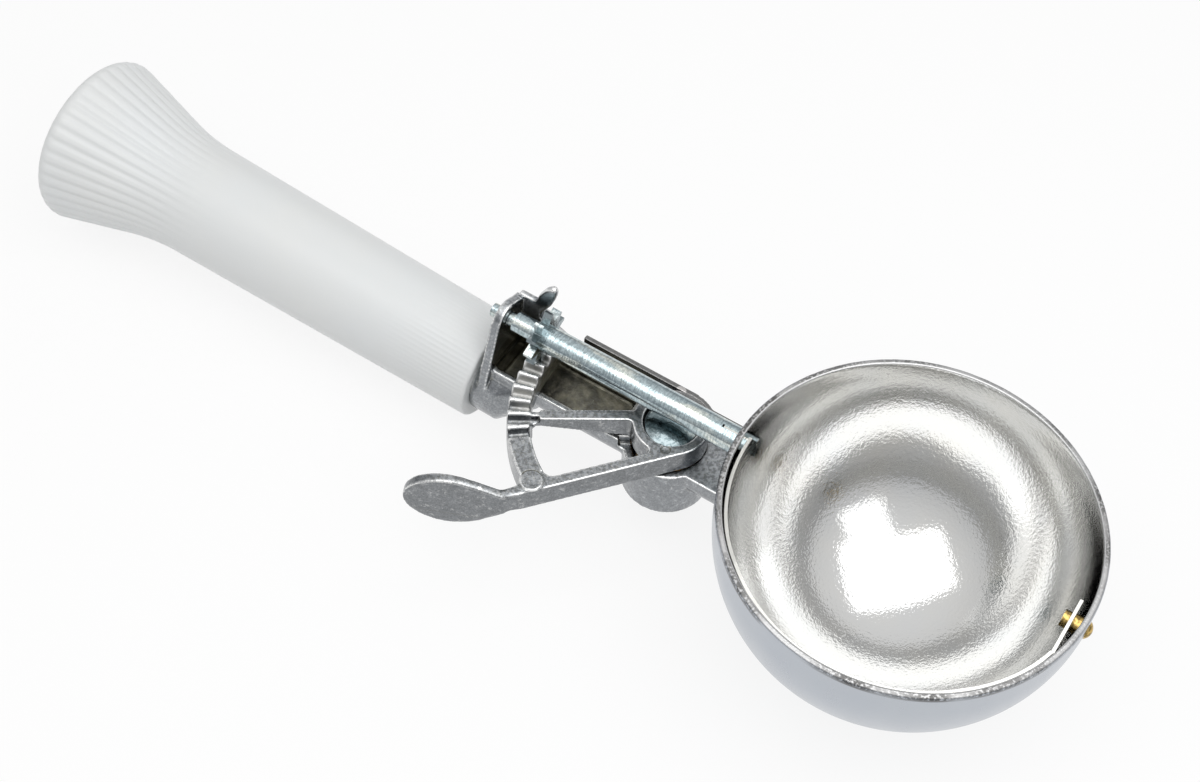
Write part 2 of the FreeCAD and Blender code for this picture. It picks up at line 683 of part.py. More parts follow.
def far_guard():
    """Raised far wall: shelf and post beside the gears, then a wall that follows the hub."""
    inner_side = ear_far_side - post_thickness
    post_x = stud_x - math.sqrt((band_outer_radius + gear_passage) ** 2 - inner_side ** 2)
    start_x = plate_front_x - 1
    post = box(V(start_x, inner_side, boss_top - 1), V(post_x, ear_far_side, shelf_top))
    shelf = box(V(start_x, ear_side, shelf_top - shelf_thickness), V(post_x, ear_far_side, shelf_top))
    wall_start = stud_x - math.sqrt((band_inner_radius - gear_passage) ** 2 - far_side ** 2)
    wall_inner = far_side - far_wall_thickness
    wall = box(V(wall_start, wall_inner, boss_top - 1), V(stud_x, far_side, far_wall_top))
    turn = math.degrees(math.asin(neck_far_side / boss_radius))
    ring = ring_sector(
        boss_radius - far_wall_thickness + 0.02, far_side, -(180 - turn), -89.9, boss_top - 1, far_wall_top
    )
    neck_x = stud_x + boss_radius * math.cos(math.radians(turn))
    neck_wall = box(
        V(neck_x - 0.3, neck_far_side - far_wall_thickness, boss_top - 1),
        V(-bowl_outer_radius + 4, neck_far_side, far_wall_top),
    )
    return [post, shelf, wall, ring, neck_wall]


def make_frame_casting():
    """Cast frame: tang, collar, plate, trough, spring boss and the neck that meets the bowl."""
    beam_start = plate_front_x - 1
    beam_end = -bowl_outer_radius + 6
    beam = Part.Face(casting_section(beam_start)).extrude(V(beam_end - beam_start, 0, 0))
    neck_trim = box(
        V(stud_x + boss_radius * 0.5, neck_far_side, boss_bottom), V(beam_end + 1, far_side + 1, 0)
    )
    beam = beam.cut(neck_trim)
    boss = cylinder(boss_radius, V(stud_x, 0, boss_bottom), V(stud_x, 0, boss_top))
    collar = in_grip_frame(cylinder(collar_radius, V(0, 0, 0), V(collar_length, 0, 0)))
    belly_lift = grip_axis_drop + boss_top - side_depth - shoulder_drop
    shoulder = Part.makeLoft(
        [
            collar_outline(collar_length, collar_radius, 0),
            collar_outline(collar_length + shoulder_length, shoulder_radius, belly_lift),
        ],
        True,
    )
    body = join([beam, boss, collar, shoulder])
    deck = box(V(plate_front_x - 0.4, -boss_radius * 2, boss_top), V(beam_end, boss_radius * 2, 0))
    floor_level = boss_top - trough_depth
    trough = box(
        V(plate_front_x, -near_side + trough_wall, floor_level),
        V(stud_x - boss_radius - trough_to_boss, far_side - trough_far_wall, 0),
    )
    upright = [edge for edge in trough.Edges if is_upright(edge, -floor_level)]
    trough = trough.makeFillet(trough_corner, [edge for edge in upright if edge.Vertexes[0].X > plate_front_x + 1])
    body = body.cut([deck, trough])
    tang = in_grip_frame(box(V(-tang_length, -tang_width / 2, -tang_height / 2), V(1, tang_width / 2, tang_height / 2)))
    body = join([body, plate_solid(), ear_solid(), tang] + far_guard())
    pin_hole = cylinder(shaft_pin_radius + running_gap, V(plate_back_x - 4, 0, 0), V(plate_front_x + 3, 0, 0))
    cup = cylinder(boss_inner_radius, V(stud_x, 0, cup_floor), V(stud_x, 0, boss_top + 0.5))
    stud_hole = cylinder(stud_radius + fixed_gap, V(stud_x, 0, boss_bottom - 1), V(stud_x, 0, cup_floor + 1))
    foot_recess = cylinder(
        rivet_over_radius + fixed_gap,
        V(stud_x, 0, boss_bottom - 1),
        V(stud_x, 0, boss_bottom + rivet_over_height + fixed_gap),
    )
    foot_end = spring_path().Edges[0].Vertexes[0].Point
    foot_hole = cylinder(
        spring_wire / 2 + spring_foot_gap, foot_end - Z_AXIS * seat_gap, V(foot_end.x, foot_end.y, cup_floor + 1)
    )
    relief = leg_relief()
    bowl_space = bowl_body(bowl_outer_radius + fixed_gap, bowl_rim_height)
    return body.cut([pin_hole, cup, stud_hole, foot_recess, foot_hole, relief, bowl_space])


def leg_relief():
    """Slot in the boss's rim that the spring's leg sweeps through."""
    depth = boss_top - spring_top + spring_wire / 2 + free_gap
    margin = math.degrees((spring_wire / 2 + free_gap) / boss_inner_radius)
    inside = math.degrees(math.acos(spring_coil_radius / boss_inner_radius))
    first = spring_leg_angle - spring_leg_sweep + inside - lever_travel - margin
    last = spring_leg_angle + margin
    return ring_sector(boss_inner_radius - 1, boss_radius + 1, first, last, boss_top - depth, boss_top + 1)


def make_neck_braze(frame):
    """Bead of braze around the neck where it meets the bowl."""
    start = -bowl_outer_radius - 2 * braze_thickness
    section = casting_section(start).makeOffset2D(braze_width)
    outer = Part.Face(section).extrude(V(bowl_outer_radius / 4, 0, 0))
    beyond = box(V(start - 1, neck_far_side + braze_width, boss_bottom), V(0, far_side * 2, 0))
    shell = bowl_body(bowl_outer_radius + braze_thickness, bowl_rim_height)
    shell = shell.cut(bowl_body(bowl_outer_radius + fixed_gap, bowl_rim_height + 1))
    return outer.cut(beyond).common(shell).cut(frame)


def make_grip():
    """Moulded grip: a slightly swelling barrel that flares out to the butt."""
    start_slope = math.atan((grip_barrel_radius - grip_front_radius) / grip_barrel_length)
    end_slope = start_slope + math.radians(grip_flare_angle)
    barrel_end = V(-grip_barrel_length, 0, grip_barrel_radius)
    middle, flare_end = [
        barrel_end + V(
            grip_flare_radius * (math.sin(start_slope) - math.sin(slope)), 0,
            grip_flare_radius * (math.cos(start_slope) - math.cos(slope)),
        )
        for slope in ((start_slope + end_slope) / 2, end_slope)
    ]
    butt_radius = flare_end.z + (grip_length + flare_end.x) * math.tan(end_slope)
    front, butt = V(0, 0, grip_front_radius), V(-grip_length, 0, butt_radius)
    edges = [
        Part.makeLine(V(0, 0, 0), front),
        Part.makeLine(front, barrel_end),
        Part.Arc(barrel_end, middle, flare_end).toShape(),
        Part.makeLine(flare_end, butt),
        Part.makeLine(butt, V(-grip_length, 0, 0)),
        Part.makeLine(V(-grip_length, 0, 0), V(0, 0, 0)),
    ]
    grip = Part.Face(Part.Wire(edges)).revolve(V(0, 0, 0), X_AXIS, 360)
    front_rim = [edge for edge in grip.Edges if rim_at(edge, 0, grip_front_radius)]
    grip = grip.makeFillet(grip_front_rounding, front_rim)
    butt_rim = [edge for edge in grip.Edges if rim_at(edge, -grip_length, butt_radius)]
    grip = grip.makeFillet(grip_butt_rounding, butt_rim)
    half_width, half_height = tang_width / 2 + fixed_gap, tang_height / 2 + fixed_gap
    pocket = box(V(-tang_length - seat_gap, -half_width, -half_height), V(1, half_width, half_height))
    return in_grip_frame(grip.cut(pocket))


def rim_at(edge, x, radius):
    """True for a whole circle of the radius about the X axis, at the place on it."""
    curve = edge.Curve
    if curve.TypeId != "Part::GeomCircle":
        return False
    return abs(curve.Radius - radius) < 0.001 and abs(curve.Center.x - x) < 0.001


def make_all():
    frame = make_frame_casting()
    return {
        "grip": make_grip(),
        "frame_casting": frame,
        "bowl": make_bowl(),
        "neck_braze": make_neck_braze(frame),
        "pivot_stud": make_pivot_stud(),
        "lever_spring": make_lever_spring(),
        "tip_rivet": make_tip_rivet(),
        "tip_collar": make_tip_collar(),
        "thumb_lever": make_thumb_lever(),
        "scraper_shaft": make_scraper_shaft(),
        "pinion": make_pinion(),
        "scraper_blade": make_scraper_blade(),
    }


pieces = make_all()
whole = Part.makeCompound(list(pieces.values())).optimalBoundingBox(False, False)
to_base = V(-whole.Center.x, -whole.Center.y, -whole.ZMin)
os.makedirs("parts", exist_ok=True)
for name, shape in pieces.items():
    shape.translate(to_base)
    shape.exportStep("parts/" + name + ".step")
    print("%s: %d solid(s), %.1f mm3, valid %s" % (name, len(shape.Solids), shape.Volume, shape.isValid()))
print("moved by %.4f, %.4f, %.4f" % (to_base.x, to_base.y, to_base.z))
print("size %.2f x %.2f x %.2f mm" % (whole.XLength, whole.YLength, whole.ZLength))
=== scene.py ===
"""Lever ice cream scoop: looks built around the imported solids.

Lengths in this file are millimetres about the scraper shaft: X runs along the shaft from the grip
to the bowl, Z out of the bowl's mouth, and zero is the bowl's centre. place() turns them into the
frame's metres.
"""
import json
import math

import bmesh
import bpy
import numpy as np
from mathutils import Matrix, Vector


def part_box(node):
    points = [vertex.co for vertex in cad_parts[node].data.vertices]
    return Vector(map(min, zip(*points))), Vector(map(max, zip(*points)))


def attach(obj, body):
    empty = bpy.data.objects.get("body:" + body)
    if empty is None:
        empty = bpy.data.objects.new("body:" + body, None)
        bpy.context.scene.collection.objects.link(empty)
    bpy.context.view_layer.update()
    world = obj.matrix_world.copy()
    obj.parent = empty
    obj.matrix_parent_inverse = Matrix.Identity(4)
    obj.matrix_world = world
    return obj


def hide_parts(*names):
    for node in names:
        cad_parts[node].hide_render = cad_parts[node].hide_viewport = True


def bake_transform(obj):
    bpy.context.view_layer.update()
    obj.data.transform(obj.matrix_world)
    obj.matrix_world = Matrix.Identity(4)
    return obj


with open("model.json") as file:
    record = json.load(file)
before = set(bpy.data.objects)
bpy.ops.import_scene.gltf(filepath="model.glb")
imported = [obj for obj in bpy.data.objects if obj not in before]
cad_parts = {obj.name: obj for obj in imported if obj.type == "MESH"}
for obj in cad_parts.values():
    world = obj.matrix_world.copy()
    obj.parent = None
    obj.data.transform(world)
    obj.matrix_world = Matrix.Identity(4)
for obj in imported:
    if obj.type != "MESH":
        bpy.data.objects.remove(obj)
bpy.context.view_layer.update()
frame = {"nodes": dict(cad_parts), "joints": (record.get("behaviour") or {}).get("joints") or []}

bl_info = {
    "name": "Lever Ice Cream Scoop",
    "version": (1, 0, 0),
    "blender": (4, 5, 0),
    "location": "View3D > Sidebar > Scoop",
    "description": "Builds the visible pieces of a lever ice cream scoop around its solids",
    "category": "Object",
}

JOINTS = {joint["name"]: joint for joint in frame["joints"]}
BOWL_LOW, BOWL_HIGH = (np.array(corner) * 1000 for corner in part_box("bowl"))
SHAFT = np.array(JOINTS["scraper_hinge"]["pos_m"]) * 1000
ORIGIN = np.array([(BOWL_LOW[0] + BOWL_HIGH[0]) / 2, SHAFT[1], SHAFT[2]])
STUD = np.array(JOINTS["lever_hinge"]["pos_m"]) * 1000 - ORIGIN
BOWL_RADIUS = float(BOWL_HIGH[0] - BOWL_LOW[0]) / 2
RIM_HEIGHT = float(BOWL_HIGH[2] - ORIGIN[2])
SMALL = 1e-6

# The grip's front on its axis, the axis's tilt, the flare's extra slope and the flute's shape
GRIP_FRONT = np.array([-97.2, 0.0, -21.5])
GRIP_TILT = math.radians(2.58)
FLARE_SLOPE = math.radians(14.6)
FLUTE_SHARPNESS = 1.6
POINTS_PER_FLUTE = 14
BARREL_START = -0.9

# Marks on the castings: the centre and the radius of two mould pin circles, and the far wall's lug
ARM_MARK, ARM_MARK_RADIUS = (-68.96, -27.85), 2.42
HUB_MARK, HUB_MARK_RADIUS = (-50.71, -6.49), 0.95
LUG, LUG_EDGE = (-55.9, 8.3), (1.0, 1.25)

# The toothed arc: distances from the stud and heights at which its band fades in and out
TEETH_INNER, TEETH_OUTER = (28.2, 28.8), (33.8, 34.4)
TEETH_FOOT, TEETH_TOP = (-8.6, -8.0), (-5.4, -5.2)

# Rounds of smoothing that each part of the castings gets
ROUNDING_ROUNDS = 4
EAR_ROUNDS = 14
LEVER_ROUNDS = 16
PAD_ROOT_ROUNDS = 60
# The lever gets the frame's plated finish, its colour darker by this share.
LEVER_DARKER = 0.72

# Points round the bowl and its rim's waver
BOWL_COUNT = 320
WAVER_TURNS = (9, 23, 41, 67)
WAVER_DEPTH = 0.018
REAR_BORE_RADIUS, TIP_BORE_RADIUS = 2.95, 1.53
BORE_REACH = 5
BORE_COUNT = 48

# The camera's place in millimetres, its right and its back, and its lens
CAMERA_SPOT = (43.775, -207.387, 330.819)
CAMERA_RIGHT = (0.8440, 0.5347, 0.0431)
CAMERA_BACK = (0.2759, -0.5015, 0.8200)
CAMERA_LENS = 60.0

# The studio: floor, world and lamps
FLOOR_SIDE = 3.0
FLOOR_SHOWN, FLOOR_STRENGTH = 0.82, 1.03
EVEN_STRENGTH = 0.56
HORIZON, OVERHEAD = (0.42, 0.43, 0.45), (1.0, 1.0, 1.0)
LAMP_AIM = (-60, 0, -15)
LAMPS = (
    ("key", (-9, -53, 430), 1.2, (0.6, 0.37)),
    ("fill", (260, -160, 380), 0.25, (0.25, 0.25)),
)
SHOWING_RAYS = ("Camera", "Glossy", "Transmission")


def place(points):
    """Metres in the frame from millimetres about the shaft: add the origin, divide by 1000."""
    return (np.asarray(points, float) + ORIGIN) / 1000


def node_box(name):
    """Lowest and highest corner of a solid, in millimetres about the shaft."""
    return [np.array(corner) * 1000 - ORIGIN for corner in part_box(name)]


# Shader arithmetic

class Value:
    """One shader output that takes part in sums, products and comparisons."""

    def __init__(self, finish, socket):
        self.finish = finish
        self.socket = socket

    def math(self, operation, *others):
        return self.finish.node("Math", {"operation": operation}, [self, *others])

    def __add__(self, other):
        return self.math("ADD", other)

    def __sub__(self, other):
        return self.math("SUBTRACT", other)

    def __mul__(self, other):
        return self.math("MULTIPLY", other)

    def __pow__(self, other):
        return self.math("POWER", other)

    def __rsub__(self, other):
        return self.finish.node("Math", {"operation": "SUBTRACT"}, [other, self])

    __radd__ = __add__
    __rmul__ = __mul__

    def step(self, low, high):
        """0 below low, 1 above high, smooth between."""
        return self.finish.node(
            "MapRange", {"interpolation_type": "SMOOTHSTEP"},
            {"Value": self, "From Min": low, "From Max": high, "To Min": 0.0, "To Max": 1.0},
        )


class Finish:
    """A material or world tree, and the one method that adds its nodes."""

    def __init__(self, tree):
        self.tree = tree
        tree.nodes.clear()

    def node(self, kind, settings=None, inputs=None, output=0):
        """Add a node, set its settings, then its sockets' values or links."""
        made = self.tree.nodes.new("ShaderNode" + kind)
        for name, value in (settings or {}).items():
            setattr(made, name, value)
        pairs = enumerate(inputs) if isinstance(inputs, (list, tuple)) else (inputs or {}).items()
        for key, value in pairs:
            self.fill(made.inputs[key], value)
        if not made.outputs:
            return made
        return Value(self, made.outputs[output])

    def fill(self, socket, value):
        if isinstance(value, Value):
            self.tree.links.new(value.socket, socket)
        else:
            socket.default_value = value

    def place_on_object(self, centre=(0, 0, 0), turn=(0, 0, 0)):
        """Object coordinates in millimetres about a point given in millimetres."""
        shift = -(np.asarray(centre, float) + ORIGIN)
        coordinates = self.node("TexCoord", output="Object")
        moved = self.node(
            "VectorMath", {"operation": "MULTIPLY_ADD"},
            [coordinates, (1000.0,) * 3, tuple(float(v) for v in shift)],
        )
        return self.node("Mapping", {}, {"Vector": moved, "Rotation": turn})

    def parts(self, vector):
        split = self.tree.nodes.new("ShaderNodeSeparateXYZ")
        self.tree.links.new(vector.socket, split.inputs[0])
        return [Value(self, output) for output in split.outputs]

    def join(self, x, y, z):
        return self.node("CombineXYZ", {}, [x, y, z])

    def noise(self, vector, scale, detail=2.0, roughness=0.5):
        return self.node(
            "TexNoise", {}, {"Vector": vector, "Scale": scale, "Detail": detail, "Roughness": roughness}
        )

    def mix(self, share, first, second):
        """Colour between the first and the second by the share."""
        return self.node(
            "Mix", {"data_type": "RGBA"}, {0: share, 6: rgba(first), 7: rgba(second)}, output=2
        )

    def bump(self, height, distance, strength=1.0):
        """Normal raised by the height, whose 1 stands for the distance in millimetres."""
        return self.node("Bump", {}, {"Height": height, "Distance": distance / 1000, "Strength": strength})

    def far_from(self, x, y, centre):
        """Distance of a point from a centre, seen along Z."""
        return ((x - centre[0]) ** 2.0 + (y - centre[1]) ** 2.0) ** 0.5

    def between(self, value, rise, fall):
        """1 where the value has risen past the first pair and hasn't yet passed the second."""
        return value.step(*rise) * (1.0 - value.step(*fall))

    def shown(self):
        """1 for the rays that show the pale background, 0 for those that light the object."""
        rays = self.tree.nodes.new("ShaderNodeLightPath")
        return sum(Value(self, rays.outputs[f"Is {kind} Ray"]) for kind in SHOWING_RAYS)

    def surface(self, **sockets):
        """Finish with one Principled shader; a key's underscores stand for spaces."""
        named = {key.replace("_", " "): value for key, value in sockets.items()}
        shader = self.node("BsdfPrincipled", {}, named)
        self.node("OutputMaterial", {}, {"Surface": shader})


def rgba(colour):
    if isinstance(colour, Value):
        return colour
    return (*colour, 1.0) if len(colour) == 3 else tuple(colour)


def material(name):
    made = bpy.data.materials.new(name)
    made.use_nodes = True
    return made, Finish(made.node_tree)


# Sizes and colours that a user may change

def millimetres(name, description, default):
    return bpy.props.FloatProperty(
        name=name, description=description, default=default, min=0.0, max=500.0, unit="NONE", precision=3
    )


def colour(name, description, default):
    return bpy.props.FloatVectorProperty(
        name=name, description=description, default=default, size=3, min=0.0, max=1.0, subtype="COLOR"
    )


class ScoopSizes(bpy.types.PropertyGroup):
    """Sizes of the pieces that are built here, in millimetres"""

    flute_count: bpy.props.IntProperty(
        name="Flutes", description="Number of grooves around the grip", default=40, min=3, max=120
    )
    flute_depth: millimetres("Flute depth", "Depth of the grip's grooves", 0.26)
    grip_front_radius: millimetres("Grip front radius", "Radius at the frame's collar", 11.6)
    grip_barrel_radius: millimetres("Grip barrel radius", "Radius where the flare starts", 12.95)
    grip_barrel_length: millimetres("Grip barrel length", "From the front to the flare", 78.0)
    grip_length: millimetres("Grip length", "From the front to the butt", 110.6)
    grip_flare_radius: millimetres("Flare radius", "Radius of the flare's curve along the grip", 50.0)
    grip_butt_rounding: millimetres("Butt rounding", "Radius of the butt's edge", 2.6)
    cast_grain: millimetres("Casting voxel", "Fineness of the rounded castings", 0.27)
    bowl_wall: millimetres("Bowl wall", "Thickness of the bowl's sheet", 1.37)
    rim_rounding: millimetres("Rim rounding", "Radius of the rim's outer edge", 0.6)
    rim_inner_rounding: millimetres("Inner rim rounding", "Radius of the rim's inner edge", 0.25)


class ScoopColours(bpy.types.PropertyGroup):
    """Colours of the finishes"""

    plastic: colour("Grip", "Moulded plastic of the grip", (0.755, 0.77, 0.77))
    plate: colour("Plated casting", "Frame and lever", (0.315, 0.33, 0.345))
    # The tarnish colour also makes the painted shade in the frame's trough.
    tarnish: colour("Tarnish", "Dull film in the casting's hollows", (0.16, 0.15, 0.11))
    chrome: colour("Bowl", "Polished bowl", (0.62, 0.62, 0.615))
    zinc: colour("Zinc plate", "Shaft, gear and stud", (0.48, 0.565, 0.59))
    zinc_sheen: colour("Zinc sheen", "Yellow sheen on the zinc plate", (0.98, 0.98, 0.87))
    brass: colour("Brass", "Rivet and collar", (0.72, 0.50, 0.17))
    wire: colour("Spring wire", "Straw-coloured wire", (0.42, 0.27, 0.12))


def sizes():
    return bpy.context.scene.scoop_sizes


def colours():
    return bpy.context.scene.scoop_colours


# Mesh helpers

def from_grip_frame(points):
    """Points with the grip's axis on X and its front at zero, turned by the tilt about Y."""
    x, y, z = np.moveaxis(np.asarray(points, float), -1, 0)
    c, s = math.cos(GRIP_TILT), math.sin(GRIP_TILT)
    return np.stack([x * c + z * s, y, z * c - x * s], -1) + GRIP_FRONT


def grid_mesh(name, points):
    """Quads between neighbours of a grid of points whose rows close; doubled points are merged."""
    rows, columns = points.shape[:2]
    index = np.arange(rows * columns).reshape(rows, columns)
    ring = np.append(index, index[:, :1], 1)
    quads = np.stack([ring[:-1, :-1], ring[1:, :-1], ring[1:, 1:], ring[:-1, 1:]], -1).reshape(-1, 4)
    mesh = bpy.data.meshes.new(name)
    mesh.from_pydata(place(points).reshape(-1, 3), [], quads)
    return clean(mesh)


def clean(mesh):
    """Merge doubled points, drop empty faces and turn all faces outwards."""
    work = bmesh.new()
    work.from_mesh(mesh)
    bmesh.ops.remove_doubles(work, verts=work.verts, dist=SMALL)
    bmesh.ops.dissolve_degenerate(work, dist=SMALL / 10, edges=work.edges)
    bmesh.ops.recalc_face_normals(work, faces=work.faces)
    work.to_mesh(mesh)
    work.free()
    return mesh


def object_of(name, mesh):
    made = bpy.data.objects.new(name, mesh)
    bpy.context.scene.collection.objects.link(made)
    return made


def bake_modifiers(piece):
    """Turn the modifiers' result into the piece's own mesh."""
    depsgraph = bpy.context.evaluated_depsgraph_get()
    done = bpy.data.meshes.new_from_object(piece.evaluated_get(depsgraph))
    piece.modifiers.clear()
    old, piece.data = piece.data, done
    bpy.data.meshes.remove(old)


def dress(piece, finish, body, nodes=(), sharp=35.0):
    """Smooth shading with sharp corners, the finish, the body to ride on and the solids to hide."""
    piece.data.materials.clear()
    piece.data.materials.append(finish)
    piece.data.shade_smooth()
    if sharp:
        piece.data.set_sharp_from_angle(angle=math.radians(sharp))
    if body is not None:
        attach(piece, body)
    if nodes:
        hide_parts(*nodes)
    return piece


def dress_solid(name, finish):
    """Give a solid that stays as it is its finish."""
    solid = frame["nodes"][name]
    for material_slot in solid.material_slots:
        material_slot.material = finish


def turned(name, profile, count):
    """Surface of revolution: each (along, radius) of the profile goes once round the X axis."""
    along, radius = np.asarray(profile, float).T
    angle = np.linspace(0, 2 * np.pi, count, endpoint=False)
    x = np.repeat(along[:, None], count, 1)
    points = np.stack([x, radius[:, None] * np.cos(angle), radius[:, None] * np.sin(angle)], -1)
    return grid_mesh(name, points)


def rounded_corner(corner, before, after, radius, steps=6):
    """Points of an arc that rounds a profile's corner, tangent to both of its sides."""
    corner, before, after = (np.asarray(p, float) for p in (corner, before, after))
    a = (before - corner) / np.linalg.norm(before - corner)
    b = (after - corner) / np.linalg.norm(after - corner)
    half = math.acos(float(np.clip(a @ b, -1, 1))) / 2
    centre = corner + (a + b) / np.linalg.norm(a + b) * radius / math.sin(half)
    start = corner + a * radius / math.tan(half) - centre
    end = corner + b * radius / math.tan(half) - centre
    share = np.linspace(0, 1, steps)[:, None]
    sweep = math.acos(float(np.clip(start @ end / radius ** 2, -1, 1)))
    return centre + (np.sin((1 - share) * sweep) * start + np.sin(share * sweep) * end) / math.sin(sweep)


def cast_copy(name, node, voxel, cut_back=None):
    """Copy of a cast solid with every edge and inner corner rounded, as a casting's are.

    The merged copy is rebuilt from even cells of the voxel's size, and each point is then drawn
    halfway to the middle of its neighbours, a few times over.
    """
    mesh = frame["nodes"][node].data.copy()
    mesh.materials.clear()
    clean(mesh)
    piece = object_of(name, mesh)
    if cut_back is not None:
        work = bmesh.new()
        work.from_mesh(mesh)
        point, normal = cut_back
        whole = work.verts[:] + work.edges[:] + work.faces[:]
        cut = bmesh.ops.bisect_plane(
            work, geom=whole, plane_co=place(point), plane_no=normal, clear_outer=True
        )
        edges = [part for part in cut["geom_cut"] if isinstance(part, bmesh.types.BMEdge)]
        bmesh.ops.triangle_fill(work, edges=edges, use_beauty=True)
        bmesh.ops.recalc_face_normals(work, faces=work.faces)
        work.to_mesh(mesh)
        work.free()
    remesh = piece.modifiers.new("Cells", "REMESH")
    remesh.mode = "VOXEL"
    remesh.voxel_size = voxel / 1000
    smooth = piece.modifiers.new("Rounding", "SMOOTH")
    smooth.factor = 0.5
    smooth.iterations = ROUNDING_ROUNDS
    bake_modifiers(piece)
    return piece


def points_of(mesh):
    """Points of a mesh in millimetres about the shaft and the bowl's middle."""
    flat = np.empty(len(mesh.vertices) * 3)
    mesh.vertices.foreach_get("co", flat)
    return flat.reshape(-1, 3) * 1000 - ORIGIN


def ramp(values, low, high):
    """0 below low, 1 above high, straight between."""
    return np.clip((values - low) / (high - low), 0, 1)


def soften(piece, weights, rounds):
    """Round a piece further where the weights are high, in steps of a tenth."""
    group = piece.vertex_groups.new(name="soft")
    tenths = np.round(weights * 10).astype(int)
    for tenth in range(1, 11):
        chosen = np.flatnonzero(tenths == tenth)
        if chosen.size:
            group.add(chosen.tolist(), tenth / 10, "REPLACE")
    smooth = piece.modifiers.new("Softening", "SMOOTH")
    smooth.factor = 0.5
    smooth.iterations = rounds
    smooth.vertex_group = group.name
    bake_modifiers(piece)
    piece.vertex_groups.clear()


# Finishes

def plastic_finish():
    """White moulded plastic: faint clouding, a soft gloss and fine flow marks along the grip."""
    made, f = material("moulded_plastic")
    here = f.place_on_object(GRIP_FRONT, (0, -GRIP_TILT, 0))
    x, y, z = f.parts(here)
    cloud = f.noise(here, 0.05, 3.0)
    flow = f.noise(f.join(x * 0.08, y, z), 1.6, 3.0)
    lines = (z.math("ARCTAN2", y) * 68.0).math("SINE") * 0.5 + 0.5
    lines = lines * x.step(-26.0, -6.0)
    base = np.array(colours().plastic)
    tint = f.mix(cloud, base * (0.985, 0.995, 1.01), base * (1.01, 1.0, 0.985))
    f.surface(
        Base_Color=tint, Roughness=flow.step(0.2, 0.8) * 0.12 + 0.3, Subsurface_Weight=0.25,
        Subsurface_Radius=(0.004, 0.004, 0.004), Subsurface_Scale=1.0,
        Normal=f.bump(flow * 0.15 + lines, 0.05, 1.0),
    )
    return made


def pin_print(f, x, y, centre, radius):
    """Thin circle that a mould pin leaves on a face."""
    off = f.far_from(x, y, centre) - radius
    return 1.0 - (off * off).step(0.002, 0.03)


